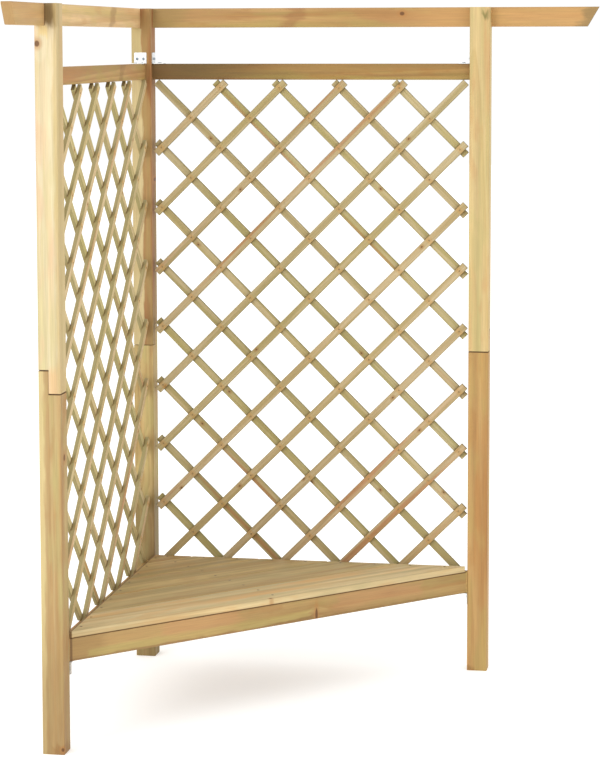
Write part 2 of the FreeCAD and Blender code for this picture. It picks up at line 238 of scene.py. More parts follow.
def pine(name, tones, centre, turn, pith, ring, knots=(), *, seed, contrast, joints=(), stains_and_shade=(),
         lean=(0, 0), bow=0.016, end_tone="8C6E42"):
    """Treated pine: growth rings are cylinders round the pith, r = |(across, through) - pith|, that
    wander with slow noise, swell round knots and are cut by the face. The turn lays the first axis
    along the grain. The tones are early wood, late wood, greenish streaks and orange patches. Seam
    boxes and stain boxes lie in the grain's frame: a seam box is sharp and dark, and a stain box is
    soft and ragged, each with its own colour; a few boxes of both kinds are painted shade where one
    part meets another or lies in a beam's shadow. Where an end is sawn at a slant, the lean tells how
    far both shift along, per metre across and through."""
    material = blank_material(name)
    tree = material.node_tree
    early, late, green, orange = tones.split()
    where = add(tree, "ShaderNodeTexCoord", out="Object")
    grain = add(tree, "ShaderNodeMapping", vector_type="TEXTURE",
                links={"Vector": where, "Location": centre, "Rotation": turn})
    wander = grain_noise(tree, grain, WANDER, seed, out="Color")
    wander = vector(tree, "SUBTRACT", wander, (0.5, 0.5, 0.5))
    drift = vector(tree, "MULTIPLY_ADD", wander, (0, bow, bow), grain)
    flat = vector(tree, "MULTIPLY_ADD", drift, (0, 1, 1), (0, -pith[0], -pith[1]))
    reach = vector(tree, "LENGTH", flat, out="Value")
    taper = vector(tree, "DOT_PRODUCT", grain, (RING_TAPER, 0, 0), out="Value")
    reach, core, halo = round_knots(tree, grain, sums(tree, "ADD", reach, taper), knots)
    dark = late_wood(tree, reach, ring)

    fibre = grain_noise(tree, grain, PINE_FIBRE, seed, detail=3.0)
    streak = grain_noise(tree, drift, STREAKS, seed + 3, detail=3.0)
    patch = grain_noise(tree, grain, PATCHES, seed + 7)
    band = grain_noise(tree, drift, BANDS, seed + 11, detail=1.0)
    blotch = grain_noise(tree, drift, BLOTCHES, seed + 15, detail=3.0)
    colour = tinted(tree, linear(early), (
        (sums(tree, "MULTIPLY", dark, contrast), late),
        (mapped(tree, streak, 0.46, 0.66, 0, 0.85), green),
        (mapped(tree, patch, 0.48, 0.68, 0, 0.8), orange),
        (mapped(tree, blotch, 0.5, 0.66, 0, 0.5), green),
        (mapped(tree, blotch, 0.48, 0.34, 0, 0.45), orange)))
    light = mapped(tree, band, 0.3, 0.7, 0.86, 1.12, "LINEAR")
    colour = blended(tree, 1.0, colour, light, "MULTIPLY")

    along = vector(tree, "DOT_PRODUCT", grain, (0, *lean), out="Value")
    shift = vector(tree, "MULTIPLY", along, (1, 0, 0))
    ragged = grain_noise(tree, grain, RAGGED, seed + 19, detail=3.0, out="Color")
    ragged = vector(tree, "SUBTRACT", ragged, (0.5, 0.5, 0.5))
    ragged = vector(tree, "MULTIPLY_ADD", ragged, RAGGED_REACH, vector(tree, "ADD", drift, shift))
    colour = tinted(tree, colour, [(in_box(tree, ragged, box, soft, amount), tone)
                                   for box, soft, tone, amount in stains_and_shade])
    light = mapped(tree, fibre, 0.25, 0.75, 0.86, 1.08, "LINEAR")
    colour = blended(tree, 1.0, colour, light, "MULTIPLY")
    if knots:
        colour = tinted(tree, colour, ((sums(tree, "MULTIPLY", halo, 0.5), KNOT_HALO),
                                       (sums(tree, "MULTIPLY", core, 0.85), KNOT_BROWN)))
    normal = add(tree, "ShaderNodeTexCoord", out="Normal")
    axis = Matrix.Rotation(turn[2], 3, "Z") @ Matrix.Rotation(turn[1], 3, "Y")
    facing = vector(tree, "DOT_PRODUCT", normal, tuple(axis.col[0]), out="Value")
    on_end = mapped(tree, sums(tree, "ABSOLUTE", facing), 0.6, 0.8, 0, 0.6)
    exact = vector(tree, "ADD", grain, shift)
    seam_and_shade_marks = [(in_box(tree, exact, box, SEAM_AND_SHADE_SOFT, SEAM_AND_SHADE_AMOUNT), SEAM_AND_SHADE_DARK) for box in joints]
    colour = tinted(tree, colour, [(on_end, end_tone), *seam_and_shade_marks])
    relief = sums(tree, "MULTIPLY_ADD", dark, 0.6, fibre)
    bump = add(tree, "ShaderNodeBump", links={"Strength": 0.45, "Distance": 0.0007, "Height": relief})
    return surfaced(material, Base_Color=colour, Normal=bump, IOR=1.5, Specular_IOR_Level=0.35,
                    Roughness=mapped(tree, fibre, 0.2, 0.8, 0.56, 0.74, "LINEAR"))


def dress(name, material):
    """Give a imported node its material."""
    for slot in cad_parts[name].material_slots:
        slot.material = material


# A post's frame: first axis up, second towards the back, third to the left of the picture.
UPRIGHT = (0, -math.pi / 2, 0)
FRONT_POST = (SHIFT_X + POST_HALF, SHIFT_Y - POST_SPACING - POST_HALF, 0)
REAR_POST = (SHIFT_X + POST_HALF, SHIFT_Y - POST_HALF, 0)
RIGHT_POST = (SHIFT_X + POST_SPACING + POST_HALF, SHIFT_Y - POST_HALF, 0)
SEAM_BELOW, SEAM_ABOVE, LAP_SEAM = 0.0006, 0.0026, 0.002
LOW_SHOULDER = (LAP_BOTTOM - SEAM_BELOW, LAP_BOTTOM + SEAM_ABOVE)
TONGUE_END = (LAP_TOP - SEAM_BELOW, LAP_TOP + SEAM_ABOVE)
SIDE_LAP = [zone(LOW_SHOULDER, through=(-ALL, LAP_SEAM)), zone(TONGUE_END, through=(LAP_SEAM, ALL))]
BACK_LAP = [zone(LOW_SHOULDER, across=(-ALL, LAP_SEAM)), zone(TONGUE_END, across=(LAP_SEAM, ALL))]

dress("front_post_upper", pine(
    "pale_sapwood", "D4C5A1 CBB186 C7B988 D4B18C", FRONT_POST, UPRIGHT, (0.055, 0.04), 0.011,
    [(1.895, -0.03, 0.023, 0.3, 0.008)], seed=1.3, contrast=0.45,
    joints=[*SIDE_LAP, zone(along=(1.943, ALL), across=(-ALL, -0.02), through=(0.001, 0.0035))],
    # First stain box, at the top beside the left beam: painted shadow of the beam's overhang, together with
    # dark treatment staining near the post's top.
    stains_and_shade=[(zone(along=(1.962, ALL), across=(-ALL, -0.02), through=(-0.020, 0.001)), 0.024, "6E5424", 0.88),
            (zone(along=(1.926, 1.938), across=(-ALL, -0.02), through=(0.0, 0.010)), 0.014, "DDBD6C", 0.5),
            (zone(along=(0.9, 1.02), through=(-0.014, -0.004)), 0.03, "D4A270", 0.5),
            (zone(through=(-ALL, -0.028)), 0.012, "BEA46C", 0.6)]))
dress("front_post_lower", pine(
    "tan_post_pine", "B49A6B A27F4F AF9E67 A87E4D", FRONT_POST, UPRIGHT, (0.02, 0.05), 0.012,
    [(0.80, 0.0, -0.03, 1.4, 0.009), (0.014, -0.03, -0.026, 0.4, 0.005)], seed=4.1, contrast=0.55,
    joints=[*SIDE_LAP, zone(along=(LAP_BOTTOM, LAP_TOP), through=(0.0015, 0.003))],
    stains_and_shade=[(zone(along=(-1, 1.1), through=(0.022, ALL)), 0.008, "CDBB86", 0.7),
            (zone(along=(-1, 0.12)), 0.3, "96774A", 0.6),
            (zone(along=(-1, 0.012), through=(-ALL, -0.012)), 0.02, "8A6234", 0.6)]))
dress("rear_post_upper", pine(
    "two_tone_post_pine", "A07A4C 845A32 9E834F 935F36", REAR_POST, UPRIGHT, (0.03, 0.05), 0.012,
    [(1.48, 0.012, -0.03, 0.3, 0.006)], seed=7.7, contrast=0.6,
    stains_and_shade=[(zone(along=(-1, 1.94), through=(0.001, ALL)), 0.005, "CAB888", 0.85),
            (zone(along=(1.80, 1.94), across=(-ALL, -0.024), through=(0.003, ALL)), 0.008, "B29E6C", 0.8)]))
dress("rear_post_lower", pine(
    "knotty_post_pine", "BCA26C 967A46 ABA064 A67C4C", REAR_POST, UPRIGHT, (0.04, 0.05), 0.011,
    [(0.839, -0.03, 0.004, 0.3, 0.006), (0.746, -0.03, 0.020, 0.3, 0.006),
     (0.676, -0.03, -0.005, 0.5, 0.006), (0.536, -0.03, 0.026, 0.3, 0.007),
     (0.484, -0.03, -0.005, 0.5, 0.007)], seed=9.2, contrast=0.65,
    stains_and_shade=[(zone(along=(-1, 0.42)), 0.18, "6B5632", 0.6)]))
dress("right_post_upper", pine(
    "cream_post_pine", "CCB37E B49056 BCAC72 C19865", RIGHT_POST, UPRIGHT, (0.05, 0.02), 0.010,
    seed=12.5, contrast=0.5, joints=BACK_LAP,
    stains_and_shade=[(zone(along=(1.982, 1.988), across=(-ALL, -0.02), through=(-0.018, -0.014)),
             0.014, "6E6A34", 0.75)]))
dress("right_post_lower", pine(
    "orange_tan_post_pine", "BA945D A27540 B19658 AE7D46", RIGHT_POST, UPRIGHT, (0.06, 0.03),
    0.011, seed=15.8, contrast=0.5,
    joints=BACK_LAP, stains_and_shade=[(zone(along=(-1, 0.006), through=(0.008, ALL)), 0.016, "86602F", 0.6)]))

# Top beams, mid rails and seat rails: planed pine, 28 mm thick, laid along the two panels. The
# beams lie in notches in the posts' tops; the rails stand on angle brackets between the posts. The
# middles are heights, and the lines tell how far a rail's middle lies inwards of the posts' outer faces.
ALONG_X = (0, 0, 0)
ALONG_Y = (0, 0, math.pi / 2)
BEAM_MIDDLE, MID_RAIL_MIDDLE, SEAT_RAIL_MIDDLE = 1.97, 1.81, 0.27
MID_RAIL_LINE, SEAT_RAIL_LINE = 0.028, 0.046

dress("right_top_beam", pine(
    "beam_pine", "B38E5B 9B7246 A88F52 A47746", (0, SHIFT_Y, BEAM_MIDDLE), ALONG_X,
    (0.05, 0.01), 0.010, [(0.12, -0.028, 0.012, 0.0, 0.007)], seed=18.4, contrast=0.5,
    stains_and_shade=[(zone(along=(0.25, ALL)), 0.2, "C89A60", 0.55),
            (zone(along=(-0.22, -0.20), across=(-ALL, -0.02)), 0.03, "92603A", 0.5),
            (zone(along=(-ALL, -0.58), across=(-ALL, -0.02)), 0.06, "96804C", 0.5),
            (zone(along=(0.674, ALL)), 0.034, "7C6A44", 0.65)],
    lean=(0, -0.586), end_tone="6E5A3A"))
dress("left_top_beam", pine(
    "beam_pine_left", "D6B482 B88E58 C7AC6C C3955E", (SHIFT_X, 0, BEAM_MIDDLE), ALONG_Y,
    (0.05, 0.01), 0.010, [(-0.3, -0.028, 0.0, 0.0, 0.006)], seed=21.9, contrast=0.5,
    stains_and_shade=[(zone(along=(-ALL, -0.40)), 0.05, "B28C58", 0.6),
            (zone(along=(0.290, 0.318), across=(-ALL, -0.02)), 0.03, "8A6034", 0.45)],
    lean=(0, -0.5), end_tone="94744A"))
dress("right_mid_rail", pine(
    "rail_pine", "A58049 846135 978143 986933", (0, SHIFT_Y - MID_RAIL_LINE, MID_RAIL_MIDDLE), ALONG_X,
    (0.03, 0.02), 0.009, seed=24.6, contrast=0.6,
    stains_and_shade=[(zone(along=(-ALL, -0.56)), 0.5, "5E4524", 0.8)]))
dress("left_mid_rail", pine(
    "rail_pine_left", "B9945E 946C3C A99250 B07E4C", (SHIFT_X + MID_RAIL_LINE, 0, MID_RAIL_MIDDLE), ALONG_Y,
    (0.03, 0.02), 0.009, seed=27.1, contrast=0.6, lean=(0, -0.5),
    stains_and_shade=[(zone(along=(0.336, 0.362), across=(-ALL, -0.02)), 0.03, "7E5630", 0.4)]))
for seed, (side, turn, spot) in enumerate((
        ("right", ALONG_X, (0, SHIFT_Y - SEAT_RAIL_LINE, SEAT_RAIL_MIDDLE)),
        ("left", ALONG_Y, (SHIFT_X + SEAT_RAIL_LINE, 0, SEAT_RAIL_MIDDLE)))):
    dress(side + "_seat_rail", pine(
        "seat_rail_pine_" + side, "B8945C 96703F A89050 A87844", spot, turn, (0.03, 0.02), 0.009,
        seed=30.3 + seed, contrast=0.6))
    dress(side + "_seat_ledger", pine(
        "ledger_pine_" + side, "C09C66 9E7848 B09A5C B0824C", spot, turn, (-0.05, 0.03), 0.011,
        seed=33.8 + seed, contrast=0.55))

# Seat frame: a planed board mitred between the seat rails in front, and a bearer from its middle to
# the corner of the two ledgers that are screwed to the rails; all are 28 mm thick.
DIAGONAL = (0, 0, math.pi / 4)
TO_CORNER = (0, 0, -math.pi / 4)
APRON_MIDDLE = (-0.1612, 0.1472, SEAT_RAIL_MIDDLE)

dress("seat_apron", pine(
    "apron_pine", "A98955 976E3D A08A52 9E7445", APRON_MIDDLE, DIAGONAL, (0.06, 0.02), 0.011,
    [(0.13, 0.0, -0.019, 1.4, 0.0042)], seed=36.2, contrast=0.5,
    # The first seam box is the dark line under the seat boards; the second, at the left end, is painted shade
    # where the apron meets the front post.
    joints=[zone(through=(0.0305, ALL)), zone(along=(-ALL, -0.676))],
    stains_and_shade=[(zone(along=(-ALL, -0.25)), 0.12, "B99862", 0.6),
            # Next stain box: painted shade by the front post, at the apron's left end.
            (zone(along=(-ALL, -0.60)), 0.05, "9A7A4A", 0.6),
            (zone(along=(-0.36, -0.16), through=(-0.012, 0.02)), 0.05, "C08A5E", 0.4),
            (zone(along=(-0.62, 0.1), through=(-0.022, -0.012)), 0.012, "AFA05E", 0.5),
            (zone(along=(0.22, 0.5), through=(0.0, 0.012)), 0.03, "B5855A", 0.5),
            (zone(through=(-ALL, -0.03)), 0.006, "7E5F36", 0.6)]))
dress("seat_centre_bearer", pine(
    "bearer_pine", "BD9A62 9A7443 AF9556 AE7E48", (0, 0, SEAT_RAIL_MIDDLE), TO_CORNER, (0.03, 0.02),
    0.009, seed=39.4, contrast=0.6))

# Seat boards: five pine boards, 18 mm thick with rounded long edges, laid across the corner and
# screwed down. Weather and treatment leave long grey-brown streaks on them. Each board has a pith of
# its own, below it and a step nearer the corner than that of the board before.
BOARD_LEVEL = 0.31
PITH_STEP, PITH_BELOW = 0.15, 0.09

for number, (tones, knots) in enumerate((
        ("D3BC8C B48F5E BBA97A CCA268", [(-0.038, 0.22, 0, 1.5, 0.004)]),
        ("BBA370 927948 A08D5C AE8C58", [(0.107, 0.518, 0.01, 1.5, 0.004)]),
        ("B99E68 8F7446 9C8854 A98650", []),
        ("B99C66 8D7142 9A8450 A6814C", []),
        ("B59862 8B6E40 98824E A47C48", [])), 1):
    dress("seat_board_%d" % number, pine(
        "board_pine_%d" % number, tones, (0, 0, BOARD_LEVEL), DIAGONAL,
        (0.05 + PITH_STEP * number, -PITH_BELOW), 0.024, knots, seed=42.0 + 3.3 * number, contrast=0.5,
        bow=0.03, lean=(-1, 0),
        # The first seam box is the dark line over the apron; the second is painted shade along the boards'
        # left ends, where they meet the trellis.
        joints=[zone(through=(-ALL, -0.0065)), zone(along=(-ALL, -0.9055))]))

# Trellis: rough-sawn pine laths, 22.5 by 10.5 mm, in two layers that cross and are nailed where they
# cross. Their narrow sides carry painted shade, darker and browner than their faces, and no two
# have one colour.
LATH_HALF, LATH_THICK, LATH_ARRIS = 0.01125, 0.0105, 0.0012
LATH_PAST_CROSSING, LATH_TIP_FLAT, LAST_ROW_ABOVE_RAIL = 0.024, 0.0005, 0.001
LATH_BOW, LATH_WANE = 0.0008, 0.03
LATH_STATIONS = 17
LATH_SEED, GRAIN_APART = 100, 3.1
KNOTS_PER_METRE, KNOT_LONG = 1.3, 1.4
LATH_LINES, LATH_FIBRE = (5, 330, 330), (24, 900, 900)
LATH_BANDS, HEARTWOOD = (2.6, 85, 85), (1.7, 60, 60)
TRELLIS_SIDE_GAP, TRELLIS_OUTER = 0.0045, 0.0275
COLUMNS, ROWS = 10, 16
# Each panel runs away from the rear corner, and inwards is towards the seat.
RUN = {"left": np.array((0.0, -1, 0)), "right": np.array((1.0, 0, 0))}
INWARD = {"left": np.array((1.0, 0, 0)), "right": np.array((0.0, -1, 0))}
CORNER = np.array((SHIFT_X, SHIFT_Y, 0))
TRELLIS_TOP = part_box("right_mid_rail")[0].z
TRELLIS_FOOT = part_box("right_seat_rail")[1].z
LATH_REACH = (LATH_PAST_CROSSING + LATH_HALF) / math.sqrt(2) - LATH_TIP_FLAT
FIRST_COLUMN = 2 * POST_HALF + TRELLIS_SIDE_GAP + LATH_REACH
LAST_COLUMN = POST_SPACING - TRELLIS_SIDE_GAP - LATH_REACH
TOP_ROW = TRELLIS_TOP - LATH_REACH
LAST_ROW = TRELLIS_FOOT + LAST_ROW_ABOVE_RAIL
CROSSING_STEP = math.hypot((LAST_COLUMN - FIRST_COLUMN) / COLUMNS, (TOP_ROW - LAST_ROW) / ROWS)


def crossing(panel, row, column, inward):
    """Point on the trellis grid: evenly spaced columns from the rear corner, rows from the top."""
    s = FIRST_COLUMN + np.asarray(column)[..., None] * (LAST_COLUMN - FIRST_COLUMN) / COLUMNS
    z = TOP_ROW + np.asarray(row)[..., None] * (LAST_ROW - TOP_ROW) / ROWS
    return CORNER + RUN[panel] * s + INWARD[panel] * inward + np.array((0, 0, 1)) * z


def lath_ends(rising):
    """Rows and columns of the upper and lower end crossing of each lath of a layer."""
    if rising:
        total = np.arange(2, ROWS + COLUMNS, 2)
        high, low = np.maximum(0, total - COLUMNS), np.minimum(ROWS, total)
        return high, total - high, low, total - low
    step = np.arange(2 - COLUMNS, ROWS, 2)
    high, low = np.maximum(0, step), np.minimum(ROWS, COLUMNS + step)
    return high, high - step, low, low - step


def arris_section(half, thick, arris):
    """Rectangle with rounded corners: each corner is three points on a quarter circle."""
    turn = np.radians((0, 45, 90))
    points = []
    for quarter, (x, y) in enumerate(((half - arris, thick - arris), (arris - half, thick - arris),
                                      (arris - half, arris), (half - arris, arris))):
        angle = turn + quarter * math.pi / 2
        points.append(np.stack((x + arris * np.cos(angle), y + arris * np.sin(angle)), 1))
    return np.concatenate(points)


def grid_faces(rows, around, offset):
    """Quads of a closed tube of rows rings with a fixed number of points around, and its two ends, for
    points that are numbered from the offset on."""
    i, j = np.meshgrid(np.arange(rows - 1), np.arange(around), indexing="ij")
    k = (j + 1) % around
    quads = np.stack((i * around + j, i * around + k, (i + 1) * around + k, (i + 1) * around + j), -1)
    quads = (quads.reshape(-1, 4) + offset).tolist()
    first = (np.arange(around)[::-1] + offset).tolist()
    last = (np.arange(around) + (rows - 1) * around + offset).tolist()
    return quads, [first, last]


def new_piece(name, vertices, faces, material):
    """Object with its place in its mesh, riding on the seat's one body."""
    mesh = bpy.data.meshes.new(name)
    mesh.from_pydata(np.asarray(vertices).reshape(-1, 3).tolist(), [], faces)
    mesh.materials.append(material)
    piece = bpy.data.objects.new(name, mesh)
    bpy.context.scene.collection.objects.link(piece)
    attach(piece, "root")
    return piece


def laths(name, panel, room_side, material, node, seed):
    """One layer of laths. A lath is a rounded section carried from above its upper crossing to below
    its lower one, with a slight sine bow; its ends are square, or sawn level where they meet a rail."""
    rng = np.random.default_rng(seed)
    inward = TRELLIS_OUTER + (LATH_THICK if room_side else 0.0)
    high, high_column, low, low_column = lath_ends((panel == "right") == room_side)
    top = crossing(panel, high, high_column, inward)
    foot = crossing(panel, low, low_column, inward)
    count = len(top)
    length = np.linalg.norm(foot - top, axis=1)[:, None]
    along = (foot - top) / length
    across = np.cross(INWARD[panel], along)
    start = top - along * LATH_PAST_CROSSING
    length = length + 2 * LATH_PAST_CROSSING
    section = arris_section(LATH_HALF, LATH_THICK, LATH_ARRIS)
    b, c = section[None, :, 0], section[None, :, 1]
    corner_height = start[:, 2:] + across[:, 2:] * b
    first = np.maximum(0, (corner_height - TRELLIS_TOP) / -along[:, 2:])
    last = np.minimum(length, (corner_height - TRELLIS_FOOT) / -along[:, 2:])
    t = np.linspace(0, 1, LATH_STATIONS)[None, :, None]
    a = first[:, None, :] + t * (last - first)[:, None, :]
    bow = rng.uniform(-LATH_BOW, LATH_BOW, (count, 1, 1))
    bow = bow * np.sin(math.pi * t * rng.choice((1, 2), (count, 1, 1)))
    wide = 1 - LATH_WANE * rng.random((count, LATH_STATIONS, 1))
    side = b[:, None, :] * wide + bow
    points = (start[:, None, None, :] + along[:, None, None, :] * a[..., None]
              + across[:, None, None, :] * side[..., None]
              + INWARD[panel] * c[0, None, None, :, None])
    around = len(section)
    faces, rims = [], []
    narrow = np.abs(np.roll(section[:, 0], -1) + section[:, 0]) > 2 * (LATH_HALF - LATH_ARRIS)
    for number in range(count):
        quads, ends = grid_faces(LATH_STATIONS, around, number * LATH_STATIONS * around)
        faces += quads + ends
        rims += np.tile(narrow.astype(float), LATH_STATIONS - 1).tolist() + [2.0, 2.0]
    piece = new_piece(name, points, faces, material)
    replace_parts(piece, node)
    own = GRAIN_APART * np.arange(count)[:, None, None]
    from_contact = c[:, None, :] if room_side else LATH_THICK - c[:, None, :]
    steps = (a - LATH_PAST_CROSSING) / CROSSING_STEP
    place = np.stack(np.broadcast_arrays(a + own, side, c[:, None, :]), -1)
    # At a panel's corners a lath's last crossing has no partner, so it gets no nail and no painted corner
    # shade.
    at_top = (high == 0) & np.isin(high_column, (0, COLUMNS))
    at_foot = (low == ROWS) & np.isin(low_column, (0, COLUMNS))
    past_last = steps > steps.max((1, 2), keepdims=True) - 0.7
    lone = (at_top[:, None, None] & (steps < 0.5)) | (at_foot[:, None, None] & past_last)
    crossings = np.stack(np.broadcast_arrays(steps, from_contact, 1.0 - lone), -1)
    # The room-side laths are the warmer ones, so their first two tones reach higher.
    tone = rng.random((count, 1, 1, 3)) * (0.65, 0.6 + 0.4 * room_side, 1) + (0.35 * room_side, 0, 0)
    tone = np.broadcast_to(tone, place.shape)
    for label, values in (("grain_place", place), ("crossings", crossings), ("tone", tone)):
        layer = piece.data.attributes.new(label, "FLOAT_VECTOR", "POINT")
        layer.data.foreach_set("vector", np.ascontiguousarray(values, np.float32).ravel())
    layer = piece.data.attributes.new("rim", "FLOAT", "FACE")
    layer.data.foreach_set("value", np.array(rims, np.float32))


def lath_knots(tree, grain):
    """Distance to the nearest knot of a lath: each cell of a row of random cells along the grain has
    one, moved across by the cell's own random colour. Lengths along the grain count for less."""
    along, across, _ = add(tree, "ShaderNodeSeparateXYZ", links={0: grain}).node.outputs
    spots = add(tree, "ShaderNodeTexVoronoi", links={"W": along, "Scale": KNOTS_PER_METRE},
                voronoi_dimensions="1D")
    tint = add(tree, "ShaderNodeSeparateXYZ", links={0: spots.node.outputs["Color"]})
    knot_side = mapped(tree, tint, 0, 1, -LATH_HALF, LATH_HALF, "LINEAR")
    away = add(tree, "ShaderNodeCombineXYZ",
               links={0: sums(tree, "DIVIDE", spots, KNOTS_PER_METRE * KNOT_LONG),
                      1: sums(tree, "SUBTRACT", across, knot_side)})
    return vector(tree, "LENGTH", away, out="Value")


def crossing_marks(tree):
    """Amounts of the rust round the nails on a lath's free face and of the painted contact shade, with
    rust, in the corners where laths of the other layer lie against it, both only at crossings that
    are nailed."""
    crossings = add(tree, "ShaderNodeAttribute", out="Vector", attribute_name="crossings")
    steps, from_contact, crossed = add(tree, "ShaderNodeSeparateXYZ", links={0: crossings}).node.outputs
    away = sums(tree, "SUBTRACT", sums(tree, "FRACT", sums(tree, "ADD", steps, 0.5)), 0.5)
    away = sums(tree, "MULTIPLY", sums(tree, "ABSOLUTE", away), CROSSING_STEP)
    rusty = sums(tree, "MULTIPLY", mapped(tree, away, 0.003, 0.012, 0.45, 0),
                 mapped(tree, from_contact, 0.009, 0.0102, 0, 1))
    # Painted contact shade beside each crossing, on the faces that touch the other layer.
    corner = sums(tree, "MULTIPLY", mapped(tree, away, LATH_HALF, LATH_HALF + 0.004, 0.45, 0),
                  mapped(tree, from_contact, 0.0005, 0.006, 1, 0))
    return sums(tree, "MULTIPLY", rusty, crossed), sums(tree, "MULTIPLY", corner, crossed)


def lath_pine(name, light):
    """Sawn treated pine of many laths: grain runs in lines along each lath, the lath's own tone picks
    its place between green-tan, honey and grey, and heartwood reddens short lengths of some."""
    material = blank_material(name)
    tree = material.node_tree
    grain = add(tree, "ShaderNodeAttribute", out="Vector", attribute_name="grain_place")
    tone = add(tree, "ShaderNodeSeparateXYZ",
               links={0: add(tree, "ShaderNodeAttribute", out="Vector", attribute_name="tone")})
    tones = tone.node.outputs
    rim = add(tree, "ShaderNodeAttribute", out="Fac", attribute_name="rim")
    lines = grain_noise(tree, grain, LATH_LINES, 2.0)
    fibre = grain_noise(tree, grain, LATH_FIBRE, 5.0)
    bands = grain_noise(tree, grain, LATH_BANDS, 8.0)
    heart = grain_noise(tree, grain, HEARTWOOD, 11.0)
    heart_from = mapped(tree, tones[1], 0, 1, 0.68, 0.5, "LINEAR")
    red = mapped(tree, sums(tree, "SUBTRACT", heart, heart_from), 0, 0.10, 0, 0.5)
    knot_away = lath_knots(tree, grain)
    rusty, corner = crossing_marks(tree)
    colour = tinted(tree, linear("A69B63"), (
        (tones[0], "BA9F7A"),
        (mapped(tree, tones[1], 0.6, 0.95, 0, 0.6), "B3926C"),
        (mapped(tree, tones[2], 0.6, 1.0, 0, 0.5), "A09468"),
        (mapped(tree, bands, 0.42, 0.64, 0, 0.6), "C3B18D"),
        (mapped(tree, bands, 0.5, 0.34, 0, 0.4), "A0925F"),
        (mapped(tree, lines, 0.45, 0.75, 0, 0.4), "8E7A4C"),
        (red, "A8683E"),
        (mapped(tree, knot_away, 0.003, 0.009, 0.6, 0), "9A7040"),
        (mapped(tree, knot_away, 0.0015, 0.003, 0.8, 0), "54381E"),
        # Painted shade on the narrow sides of every lath; the ends below are dark end grain.
        (mapped(tree, rim, 0.3, 0.9, 0, 0.74), "7D744C"),
        (mapped(tree, rim, 1.3, 1.9, 0, 0.8), "54462A"),
        (rusty, "B98A46"),
        # Painted contact shade, with a rust-brown tint, in the corners at the nailed crossings.
        (corner, "62400F")))
    # The light factor scales the whole colour; where it is above 1 it is painted light.
    shade = mapped(tree, fibre, 0.25, 0.75, 0.86 * light, 1.1 * light, "LINEAR")
    colour = blended(tree, 1.0, colour, shade, "MULTIPLY")
    bump = add(tree, "ShaderNodeBump", links={"Strength": 0.6, "Distance": 0.0006, "Height": fibre})
    return surfaced(material, Base_Color=colour, Normal=bump, IOR=1.5, Specular_IOR_Level=0.3,
                    Roughness=mapped(tree, fibre, 0.2, 0.8, 0.66, 0.84, "LINEAR"))


# The left panel's laths are the same sawn pine with the colour raised by 1.26: painted light.
lath_wood = {"left": lath_pine("painted_light_lath_pine", 1.26), "right": lath_pine("sawn_lath_pine", 1.0)}
for seed, (panel, layer) in enumerate((p, n) for p in ("left", "right") for n in ("room", "outer")):
    laths("%s_%s_laths" % (panel, layer), panel, layer == "room", lath_wood[panel],
          "%s_trellis_%s_laths" % (panel, layer), LATH_SEED + seed)

# Trellis nails: one galvanised clout nail through every crossing, its domed head on the room side
# and its point clenched flat on the other.
NAIL_HEAD, NAIL_DOME, NAIL_SIDES = 0.0026, 0.0009, 10
NAIL_RADII = (NAIL_HEAD, NAIL_HEAD, 0.7 * NAIL_HEAD, 0.0004)
NAIL_HEIGHTS = (-0.0004, 0.0003, NAIL_DOME * 0.8, NAIL_DOME)
POINT_RADII, POINT_HEIGHTS, POINT_SIDES = (0.0016, 0.0016, 0.0008), (-0.0004, 0.0004, 0.0009), 8
ZINC_CRYSTALS, RUST_BLOOM, ZINC_GRAIN = 450.0, 60.0, 900.0


def galvanised(name, light, dull, rust, rust_amount):
    """Zinc coat on steel: small crystals of two greys and a bloom of rust where water stays."""
    material = blank_material(name)
    tree = material.node_tree
    where = add(tree, "ShaderNodeTexCoord", out="Object")
    crystals = add(tree, "ShaderNodeTexVoronoi", out="Color", links={"Vector": where, "Scale": ZINC_CRYSTALS})
    grey = blended(tree, mapped(tree, crystals, 0.2, 0.8, 0, 1), linear(light), linear(dull))
    bloom = add(tree, "ShaderNodeTexNoise", links={"Vector": where, "Scale": RUST_BLOOM, "Detail": 3.0})
    rusty = mapped(tree, bloom, 0.5, 0.7, 0, rust_amount)
    colour = blended(tree, rusty, grey, linear(rust))
    fine = add(tree, "ShaderNodeTexNoise", links={"Vector": where, "Scale": ZINC_GRAIN, "Detail": 2.0})
    bump = add(tree, "ShaderNodeBump", links={"Strength": 0.3, "Distance": 0.0002, "Height": fine})
    return surfaced(material, Base_Color=colour, Metallic=sums(tree, "SUBTRACT", 0.75, rusty),
                    Roughness=mapped(tree, fine, 0.3, 0.7, 0.38, 0.55, "LINEAR"), Normal=bump)


def turned_pieces(places, outward, radii, heights, sides):
    """Rings of given radii and heights round each place's outward direction, closed at both ends."""
    outward = np.broadcast_to(np.asarray(outward, float), places.shape)
    helper = np.where(np.abs(outward[:, 2:]) > 0.9, np.array((1.0, 0, 0)), np.array((0, 0, 1.0)))
    u = np.cross(helper, outward)
    v = np.cross(outward, u)
    angle = 2 * math.pi * np.arange(sides) / sides
    ring = (u[:, None, None, :] * np.cos(angle)[None, None, :, None]
            + v[:, None, None, :] * np.sin(angle)[None, None, :, None])
    points = (places[:, None, None, :] + ring * np.asarray(radii)[None, :, None, None]
              + outward[:, None, None, :] * np.asarray(heights)[None, :, None, None])
    faces = []
    for number in range(len(places)):
        quads, ends = grid_faces(len(radii), sides, number * len(radii) * sides)
        faces += quads + ends
    return points, faces


